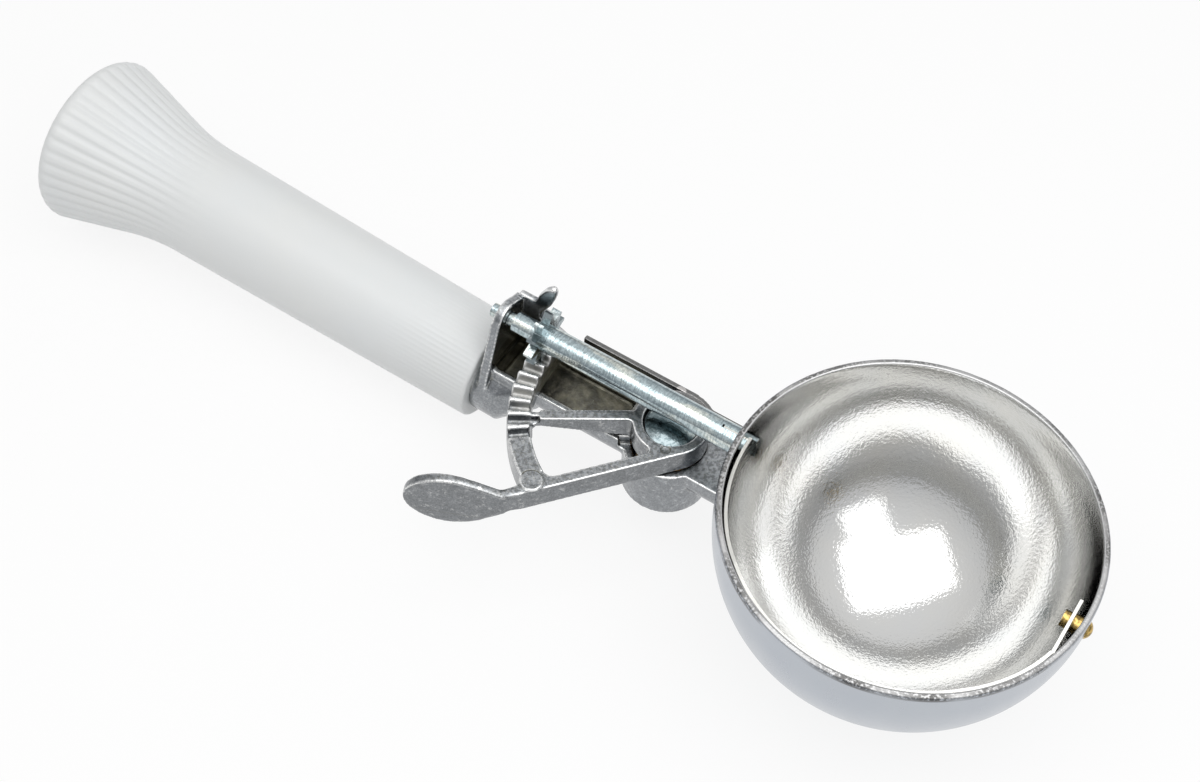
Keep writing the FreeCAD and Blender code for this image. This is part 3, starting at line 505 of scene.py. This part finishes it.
def casting_finish(name, darker=1.0):
    """Plated casting: grain and painted light on the upper faces, bright edges that are part wear and part
    painted highlight, a dull film in the hollows and painted shade in the trough.
    """
    made, f = material(name)
    here = f.place_on_object()
    geometry = f.tree.nodes.new("ShaderNodeNewGeometry")
    edge = Value(f, geometry.outputs["Pointiness"])
    tilt = f.parts(Value(f, geometry.outputs["Normal"]))[2]
    bright = edge.step(0.506, 0.535) * tilt.step(0.1, 0.4)
    upward = tilt.step(0.75, 0.97)
    hollow = 1.0 - edge.step(0.44, 0.495)
    grain = f.noise(here, 3.0, 2.0, 0.7)
    mottle = f.noise(here, 1.1, 3.0, 0.75)
    x, y, z = f.parts(here)
    trough = f.between(x, (-96.0, -95.0), (-64.0, -62.0)) * f.between(y, (-5.5, -4.5), (8.0, 8.6))
    trough = trough * f.between(z, (-17.9, -17.6), (-8.0, -6.6))
    patch = f.noise(here, 0.35, 3.0).step(0.35, 0.7)
    pits = grain.step(0.52, 0.66) * upward
    plate = np.array(colours().plate) * darker
    tarnish = np.array(colours().tarnish)
    tone = f.mix(patch, plate * 0.9, plate * 1.08)
    # Painted light: faces that point up are painted lighter, as if lit from above.
    tone = f.mix(upward, tone, plate * 1.6)
    dark_grain, light_grain = f.mix(0.8, (0.0, 0.0, 0.0), tone), f.mix(0.08, tone, (0.8, 0.81, 0.82))
    tone = f.mix(grain.step(0.35, 0.65), dark_grain, light_grain)
    tone = f.mix(mottle.step(0.4, 0.6) * (upward * 0.45 + 0.25), tone, plate * 0.4)
    tone = f.mix(f.noise(here, 0.7, 3.0, 0.8).step(0.55, 0.72) * 0.4, tone, (0.75, 0.75, 0.74))
    tone = f.mix(pits * 0.5, tone, tarnish * 1.3)
    reach = ((x - STUD[0]) ** 2.0 + y * y) ** 0.5
    band = f.between(reach, TEETH_INNER, TEETH_OUTER) * f.between(z, TEETH_FOOT, TEETH_TOP)
    band = band * y.step(-15.0, -13.0)
    tone = f.mix(band * 0.6, tone, (0.62, 0.61, 0.58))
    tone = f.mix(hollow * (1.0 - band) * 0.7, tone, tarnish)
    arm_print = pin_print(f, x, y, ARM_MARK, ARM_MARK_RADIUS)
    hub_print = pin_print(f, x, y, HUB_MARK, HUB_MARK_RADIUS)
    print_edge = arm_print.math("MAXIMUM", hub_print) * upward
    tone = f.mix(print_edge * 0.6, tone, tarnish)
    # Painted highlight, partly edge wear: sharp edges that face up are painted near white.
    tone = f.mix(bright * (0.9 - mottle.step(0.5, 0.7) * 0.5), tone, (0.9, 0.9, 0.89))
    # Painted shade: the inside of the deep trough is painted dark olive.
    trough_shade = f.mix(patch, tarnish * 0.6, tarnish * 1.7)
    trough_shade = f.mix(grain.step(0.62, 0.75) * 0.5, trough_shade, (0.6, 0.58, 0.5))
    tone = f.mix(trough * 0.85, tone, trough_shade)
    # The far wall's top is painted nearly black, with a pale disc at the lug.
    rail = f.between(z, (-8.0, -7.0), (-5.5, -5.2)) * y.step(3.5, 4.5) * x.step(-84.0, -80.0)
    lug = 1.0 - f.far_from(x, y, LUG).step(*LUG_EDGE)
    tone = f.mix(rail * 0.8, tone, f.mix(mottle, (0.07, 0.068, 0.065), (0.16, 0.155, 0.15)))
    tone = f.mix(rail * lug * 0.7, tone, (0.6, 0.58, 0.57))
    seam = (1.0 - ((z + 13.6 + x * 0.03 + 2.4) ** 2.0).step(0.001, 0.012)) * reach.step(39.0, 41.0)
    tone = f.mix(seam * 0.35, tone, tarnish)
    rough = pits * 0.3 + upward * 0.12 + grain * 0.1 + hollow * 0.15 + band * 0.2
    rough = rough + 0.17 - bright * 0.12
    height = grain * (upward * 0.6 + 0.4) - print_edge * 1.5 + f.noise(here, 0.5, 2.0) * 0.6
    f.surface(
        Base_Color=tone, Metallic=1.0, Roughness=rough, Normal=f.bump(height, 0.11, 0.5),
    )
    return made


def bowl_finish():
    """Polished bowl: fine rings from buffing, cloudy haze, and a rough edge along the rim."""
    made, f = material("buffed_bowl")
    here = f.place_on_object()
    x, y, z = f.parts(here)
    out = (x * x + y * y) ** 0.5
    angle = y.math("ARCTAN2", x)
    ball = (x * x + y * y + z * z) ** 0.5
    rings = f.noise(f.join(angle * 3.0, z.math("ARCTAN2", out) * 60.0, 0.0), 2.2, 4.0, 0.65)
    streaks = f.noise(f.join(angle * 5.0, z * 0.05, 0.0), 1.3, 4.0, 0.6)
    haze = f.noise(here, 0.08, 3.0)
    speck = f.noise(here, 1.9, 3.0)
    grain = f.noise(f.join(x + y * 0.5, y - x * 0.5, z * 0.8), 1.4, 1.0, 0.5)
    fine = f.noise(here, 3.6, 1.0, 0.5)
    skin = (BOWL_RADIUS - 1.0, BOWL_RADIUS - 0.6)
    wall = z.step(0.0, 0.1)
    inside = 1.0 - ball.step(*skin) * (1.0 - wall) - out.step(*skin) * wall
    below = z - RIM_HEIGHT
    rim = below.step(-0.35, -0.05)
    lip = below.step(-0.75, -0.6) * out.step(BOWL_RADIUS - 1.12, BOWL_RADIUS - 1.0)
    chrome = np.array(colours().chrome)
    tone = f.mix(haze, chrome * (0.95, 0.97, 1.0), chrome * (1.03, 1.01, 0.97))
    # Outside: a darker, bluer tone, partly a duller finish and partly a painted reflection of bluish-grey
    # surroundings.
    duller_with_painted_reflection = f.mix(haze, chrome * (0.72, 0.77, 0.86), chrome * (0.8, 0.84, 0.9))
    tone = f.mix(inside, duller_with_painted_reflection, tone)
    tone = f.mix(rim, tone, (0.5, 0.5, 0.5))
    # A dark band just under the rim on the outside, and dark specks along the rim's edge, both in patches.
    rim_patches = f.noise(f.join(x, y, 0.0), 0.06, 2.0).step(0.35, 0.6)
    under = f.between(below, (-1.3, -1.0), (-0.6, -0.4))
    tone = f.mix(under * (1.0 - inside) * rim_patches * 0.7, tone, (0.07, 0.06, 0.05))
    tone = f.mix(lip * rim_patches * speck.step(0.36, 0.54) * 0.85, tone, (0.06, 0.058, 0.055))
    outside = 1.0 - inside
    rough = inside * (rings * 0.06 + 0.03) + outside * (streaks * 0.12 + 0.2) + rim * 0.2
    height = (rings * 0.25 + grain * 1.9 + fine * 0.9) * inside + streaks * outside * 0.25
    height = height + speck * lip * 3.0
    f.surface(
        Base_Color=tone, Metallic=1.0, Roughness=rough, Normal=f.bump(height, 0.03, 0.5),
    )
    return made


def zinc_finish(name, axis_centre=(0, 0, 0), tooling=1.0):
    """Zinc plate on steel: tool rings across the axis, and a faint yellow and blue sheen."""
    made, f = material(name)
    here = f.place_on_object(axis_centre)
    x, y, z = f.parts(here)
    rings = f.noise(f.join(x * 3.2, y * 0.4, z * 0.4), 1.0, 2.0, 0.7)
    sheen = f.noise(f.join(x * 0.25, y, z), 0.45, 3.0).step(0.5, 0.72) * 0.7
    scuff = f.noise(here, 1.4, 4.0, 0.65)
    zinc = np.array(colours().zinc) * (0.5 + 0.5 * tooling)
    tone = f.mix(sheen * (0.3 + 0.7 * tooling), zinc, colours().zinc_sheen)
    tone = f.mix(scuff.step(0.46, 0.56) * (0.7 - 0.4 * tooling), tone, (0.10, 0.14, 0.15))
    tone = f.mix(rings.step(0.46, 0.62) * 0.35 * tooling, tone, (0.13, 0.18, 0.19))
    geometry = f.tree.nodes.new("ShaderNodeNewGeometry")
    edge = Value(f, geometry.outputs["Pointiness"])
    # Gear and stud: darker in the hollows between teeth, and the sharpest edges painted lighter, a painted
    # highlight along with edge wear.
    tone = f.mix((1.0 - edge.step(0.4, 0.48)) * (1.0 - tooling), tone, (0.05, 0.07, 0.07))
    tone = f.mix(edge.step(0.6, 0.7) * (1.0 - tooling) * 0.3, tone, (0.8, 0.86, 0.87))
    f.surface(
        Base_Color=tone, Metallic=1.0, Roughness=rings * 0.1 + 0.04,
        Normal=f.bump(rings * tooling * 0.5 + scuff * (0.5 - 0.35 * tooling), 0.12, 0.8),
    )
    return made


def sheet_finish():
    """Thin bright sheet with brushing along its length."""
    made, f = material("brushed_sheet")
    here = f.place_on_object()
    x, y, z = f.parts(here)
    brush = f.noise(f.join(y.math("ARCTAN2", x) * 2.0, z * 3.0, 0.0), 2.0, 4.0, 0.6)
    tone = f.mix(brush, (0.62, 0.62, 0.58), (0.80, 0.79, 0.76))
    f.surface(Base_Color=tone, Metallic=1.0, Roughness=brush * 0.2 + 0.16, Normal=f.bump(brush, 0.02, 0.4))
    return made


def brass_finish():
    """Turned brass with a few darker specks."""
    made, f = material("turned_brass")
    here = f.place_on_object((BOWL_RADIUS, 0, 0))
    x, y, z = f.parts(here)
    ring = f.noise(f.join(x * 2.0, ((y * y + z * z) ** 0.5) * 6.0, 0.0), 1.5, 3.0)
    speck = f.noise(here, 1.6, 3.0)
    brass = np.array(colours().brass)
    tone = f.mix(speck.step(0.42, 0.62), brass * 0.85, brass * 0.35)
    f.surface(Base_Color=tone, Metallic=1.0, Roughness=ring * 0.15 + 0.2, Normal=f.bump(ring, 0.04, 0.4))
    return made


def wire_finish():
    """Drawn spring wire with a straw-coloured oxide."""
    made, f = material("spring_wire")
    here = f.place_on_object(STUD)
    grain = f.noise(here, 1.2, 3.0)
    wire = np.array(colours().wire)
    f.surface(
        Base_Color=f.mix(grain, wire * 0.7, wire * 1.4), Metallic=1.0,
        Roughness=grain * 0.15 + 0.25, Normal=f.bump(grain, 0.03, 0.4),
    )
    return made


# Pieces

class SCOOP_OT_grip(bpy.types.Operator):
    """Build the fluted grip"""

    bl_idname = "scoop.grip"
    bl_label = "Grip"

    def execute(self, context):
        """Profile: a slowly swelling barrel, an arc, a straight flare and a rounded butt, turned
        about the grip's axis. The radius drops in each groove by depth times a raised cosine of
        the number of grooves times the angle, to the power of 1.6."""
        s = sizes()
        slope = math.atan((s.grip_barrel_radius - s.grip_front_radius) / s.grip_barrel_length)
        end_slope = slope + FLARE_SLOPE
        sweep = np.linspace(slope, end_slope, 12)
        arc = np.stack([
            -s.grip_barrel_length + s.grip_flare_radius * (np.sin(slope) - np.sin(sweep)),
            s.grip_barrel_radius + s.grip_flare_radius * (np.cos(slope) - np.cos(sweep)),
        ], -1)
        butt_radius = arc[-1, 1] + (s.grip_length + arc[-1, 0]) * math.tan(end_slope)
        butt = (-s.grip_length, butt_radius)
        front = (0.0, s.grip_front_radius)
        barrel_along = np.linspace(BARREL_START, -s.grip_barrel_length, 24)[:-1]
        barrel_radius = np.interp(
            barrel_along, [-s.grip_barrel_length, 0], [s.grip_barrel_radius, s.grip_front_radius]
        )
        barrel = np.stack([barrel_along, barrel_radius], -1)
        flare = arc[-1] + (np.array(butt) - arc[-1]) * np.linspace(0, 0.8, 8)[1:, None]
        rounding = rounded_corner(butt, flare[-1], (-s.grip_length, 0.0), s.grip_butt_rounding, 10)
        nose = rounded_corner(front, (0.0, 0.0), barrel[0], 0.6, 5)
        profile = np.concatenate([
            [[0.0, 0.0], [0.0, 6.0], [0.0, 10.4]], nose, barrel, arc, flare, rounding,
            [[-s.grip_length, 12.0], [-s.grip_length, 5.0], [-s.grip_length, 0.0]],
        ])
        along, radius = profile.T
        count = s.flute_count * POINTS_PER_FLUTE
        angle = np.linspace(0, 2 * np.pi, count, endpoint=False)
        groove = (0.5 + 0.5 * np.cos(angle * s.flute_count)) ** FLUTE_SHARPNESS
        butt_end = -s.grip_length
        near_ends = np.interp(along, [butt_end, -96.0, -85.0, -74.0, -66.0], [1.15, 1.25, 0.75, 0.1, 0.0])
        on_side = np.interp(along, [butt_end + 0.6, butt_end + 3.0, -0.8, -0.1], [0, 1, 1, 0.3])
        on_side *= radius > s.grip_front_radius - 1.0
        depth = s.flute_depth * near_ends * on_side
        r = radius[:, None] - depth[:, None] * groove
        x = np.repeat(along[:, None], count, 1)
        points = from_grip_frame(np.stack([x, r * np.cos(angle), r * np.sin(angle)], -1))
        piece = object_of("fluted_grip", grid_mesh("fluted_grip", points))
        dress(piece, plastic_finish(), "frame", ["grip"], sharp=50.0)
        return {"FINISHED"}


class SCOOP_OT_castings(bpy.types.Operator):
    """Build the cast frame and the cast thumb lever"""

    bl_idname = "scoop.castings"
    bl_label = "Castings"

    def execute(self, context):
        finish = casting_finish("plated_frame")
        back = from_grip_frame([-1.5, 0, 0])
        away = from_grip_frame([-2.5, 0, 0]) - back
        voxel = sizes().cast_grain
        body = cast_copy("cast_frame", "frame_casting", voxel, (back, tuple(away)))
        x, _, z = points_of(body.data).T
        soften(body, ramp(z, 1.0, 3.0) * ramp(-x, 78.0, 80.0), EAR_ROUNDS)
        dress(body, finish, "frame", ["frame_casting"], sharp=0)
        lever = cast_copy("cast_lever", "thumb_lever", voxel * 0.9)
        x, y, z = points_of(lever.data).T
        reach = np.hypot(x - STUD[0], y)
        angle = np.degrees(np.arctan2(-y, STUD[0] - x))
        teeth = ramp(reach, 28.0, 28.6) * ramp(-reach, -34.4, -33.8) * ramp(z, -8.6, -7.9)
        teeth = teeth * ramp(-angle, -42.0, -40.0)
        pad = ramp(reach, 34.6, 38.0)
        soften(lever, np.maximum(teeth * 0.9, pad), LEVER_ROUNDS)
        x, y, _ = points_of(lever.data).T
        reach = np.hypot(x - STUD[0], y)
        soften(lever, ramp(reach, 35.2, 38.0) * ramp(-reach, -49.0, -44.0), PAD_ROOT_ROUNDS)
        lever_finish = casting_finish("plated_lever", LEVER_DARKER)
        dress(lever, lever_finish, "lever", ["thumb_lever"], sharp=0)
        dress_solid("neck_braze", finish)
        return {"FINISHED"}


class SCOOP_OT_bowl(bpy.types.Operator):
    """Build the bowl"""

    bl_idname = "scoop.bowl"
    bl_label = "Bowl"

    def execute(self, context):
        """Profile: outer quarter circle and wall, rounded rim, inner wall and quarter circle, turned
        about Z. The rim's outer edge wavers by a few hundredths with a sum of sines of the angle."""
        s = sizes()
        outer, inner, top = BOWL_RADIUS, BOWL_RADIUS - s.bowl_wall, RIM_HEIGHT
        edge, lip = s.rim_rounding, s.rim_inner_rounding
        quarter = np.linspace(-np.pi / 2, 0, 72)
        wall = np.linspace(0, top - edge, 8)[1:-1]
        bend = np.linspace(0, np.pi / 2, 6)
        profile = np.concatenate([
            np.stack([outer * np.cos(quarter), outer * np.sin(quarter)], -1),
            np.stack([np.full(wall.size, outer), wall], -1),
            np.stack([outer - edge + edge * np.cos(bend), top - edge + edge * np.sin(bend)], -1),
            np.stack([inner + lip - lip * np.sin(bend), top - lip + lip * np.cos(bend)], -1),
            np.stack([np.full(wall.size, inner), wall[::-1]], -1),
            np.stack([inner * np.cos(quarter[::-1]), inner * np.sin(quarter[::-1])], -1),
        ])
        angle = np.linspace(0, 2 * np.pi, BOWL_COUNT, endpoint=False)
        waver = sum(np.sin(angle * turns + turns) for turns in WAVER_TURNS) * WAVER_DEPTH
        out, up = profile.T
        share = np.clip((up - (top - 1.2)) / 1.2, 0, 1) * np.clip((out - inner - 0.5) / 0.6, 0, 1)
        r = np.maximum(out, 0)[:, None] - share[:, None] * np.abs(waver)
        height = np.repeat(up[:, None], BOWL_COUNT, 1)
        points = np.stack([r * np.cos(angle), r * np.sin(angle), height], -1)
        piece = object_of("bowl_shell", grid_mesh("bowl_shell", points))
        for centre, radius in ((-outer, REAR_BORE_RADIUS), (outer, TIP_BORE_RADIUS)):
            start, end = centre - BORE_REACH, centre + BORE_REACH
            tool = turned("bore", [(start, 0), (start, radius), (end, radius), (end, 0)], BORE_COUNT)
            drill = object_of("bore", tool)
            hole = piece.modifiers.new("Hole", "BOOLEAN")
            hole.object = drill
            hole.solver = "EXACT"
            bake_modifiers(piece)
            bpy.data.objects.remove(drill)
        dress(piece, bowl_finish(), "frame", ["bowl"], sharp=40.0)
        return {"FINISHED"}


class SCOOP_OT_scraper(bpy.types.Operator):
    """Finish the scraper's shaft, gear and blade"""

    bl_idname = "scoop.scraper"
    bl_label = "Scraper"

    def execute(self, context):
        dress_solid("scraper_shaft", zinc_finish("turned_zinc"))
        dress_solid("pinion", zinc_finish("zinc_gear", tooling=0.2))
        dress_solid("scraper_blade", sheet_finish())
        return {"FINISHED"}


class SCOOP_OT_pivot(bpy.types.Operator):
    """Finish the pivot stud and the return spring"""

    bl_idname = "scoop.pivot"
    bl_label = "Pivot"

    def execute(self, context):
        dress_solid("pivot_stud", zinc_finish("zinc_stud", STUD, tooling=0.15))
        wire = frame["nodes"]["lever_spring"].data.copy()
        clean(wire)
        spring = object_of("coil_spring", wire)
        dress(spring, wire_finish(), None, ["lever_spring"])
        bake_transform(spring)
        return {"FINISHED"}


class SCOOP_OT_rivet(bpy.types.Operator):
    """Finish the brass rivet and its collar"""

    bl_idname = "scoop.rivet"
    bl_label = "Rivet"

    def execute(self, context):
        brass = brass_finish()
        dress_solid("tip_rivet", brass)
        dress_solid("tip_collar", brass)
        return {"FINISHED"}


class SCOOP_OT_stage(bpy.types.Operator):
    """Add the floor, the lamps, the surroundings and the camera"""

    bl_idname = "scoop.stage"
    bl_label = "Stage"

    def execute(self, context):
        self.floor()
        self.surroundings(context.scene)
        for lamp in LAMPS:
            self.lamp(*lamp)
        self.camera(context.scene)
        context.scene.view_settings.view_transform = "Standard"
        return {"FINISHED"}

    def floor(self):
        """Pale square under the object."""
        mesh = bpy.data.meshes.new("floor")
        corners = [(x * FLOOR_SIDE, y * FLOOR_SIDE, 0) for x, y in ((-1, -1), (1, -1), (1, 1), (-1, 1))]
        mesh.from_pydata(corners, [], [(0, 1, 2, 3)])
        floor = object_of("floor", mesh)
        made, f = material("white_floor")
        matt = f.node("BsdfDiffuse", {}, {"Color": rgba((0.8, 0.8, 0.8))})
        white = f.node("Emission", {}, {"Color": rgba((1.0, 1.0, 1.0)), "Strength": FLOOR_STRENGTH})
        blend = f.node("MixShader", {}, {0: f.shown() * FLOOR_SHOWN, 1: matt, 2: white})
        f.node("OutputMaterial", {}, {"Surface": blend})
        mesh.materials.append(made)

    def surroundings(self, scene):
        """Plain pale studio, white overhead and light grey at the horizon, as metal shows it too."""
        world = bpy.data.worlds.new("studio")
        scene.world = world
        world.use_nodes = True
        f = Finish(world.node_tree)
        height = f.parts(f.node("TexCoord", output="Generated"))[2]
        pale = f.mix(height.step(-0.05, 0.95), HORIZON, OVERHEAD)
        even = f.node("Background", {}, {"Color": rgba((1, 1, 1)), "Strength": EVEN_STRENGTH})
        background = f.node("Background", {}, {"Color": pale, "Strength": 1.0})
        blend = f.node("MixShader", {}, {0: f.shown(), 1: even, 2: background})
        f.node("OutputWorld", {}, {"Surface": blend})

    def lamp(self, name, spot, watts, sides):
        """Soft rectangular lamp: its place in millimetres, watts, and sides in metres."""
        light = bpy.data.lights.new(name, "AREA")
        light.energy = watts
        light.shape = "RECTANGLE"
        light.size, light.size_y = sides
        made = bpy.data.objects.new(name, light)
        bpy.context.scene.collection.objects.link(made)
        made.location = place(spot)
        aim = Vector(place(LAMP_AIM)) - made.location
        made.rotation_euler = aim.to_track_quat("-Z", "Y").to_euler()

    def camera(self, scene):
        data = bpy.data.cameras.new("camera")
        data.lens = CAMERA_LENS
        data.sensor_width = 36.0
        data.clip_start = 0.01
        camera = bpy.data.objects.new("camera", data)
        scene.collection.objects.link(camera)
        back = Vector(CAMERA_BACK).normalized()
        right = Vector(CAMERA_RIGHT)
        right = (right - back * right.dot(back)).normalized()
        turn = Matrix((right, back.cross(right), back)).transposed().to_4x4()
        camera.matrix_world = Matrix.Translation(place(CAMERA_SPOT)) @ turn
        scene.camera = camera


class SCOOP_PT_panel(bpy.types.Panel):
    """Buttons that build the scoop, with its sizes and colours"""

    bl_idname = "SCOOP_PT_panel"
    bl_label = "Lever Ice Cream Scoop"
    bl_space_type = "VIEW_3D"
    bl_region_type = "UI"
    bl_category = "Scoop"

    def draw(self, context):
        for operator in OPERATORS:
            self.layout.operator(operator.bl_idname)
        for group in (context.scene.scoop_sizes, context.scene.scoop_colours):
            for name in group.__annotations__:
                self.layout.prop(group, name)


OPERATORS = (
    SCOOP_OT_grip, SCOOP_OT_castings, SCOOP_OT_bowl, SCOOP_OT_scraper, SCOOP_OT_pivot, SCOOP_OT_rivet,
    SCOOP_OT_stage,
)
CLASSES = (ScoopSizes, ScoopColours, *OPERATORS, SCOOP_PT_panel)


def register():
    for one in CLASSES:
        bpy.utils.register_class(one)
    bpy.types.Scene.scoop_sizes = bpy.props.PointerProperty(type=ScoopSizes)
    bpy.types.Scene.scoop_colours = bpy.props.PointerProperty(type=ScoopColours)


def unregister():
    del bpy.types.Scene.scoop_colours
    del bpy.types.Scene.scoop_sizes
    for one in reversed(CLASSES):
        bpy.utils.unregister_class(one)


def main():
    """Register the add-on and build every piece."""
    register()
    for operator in OPERATORS:
        group, name = operator.bl_idname.split(".")
        getattr(getattr(bpy.ops, group), name)()


if __name__ == "__main__":
    main()
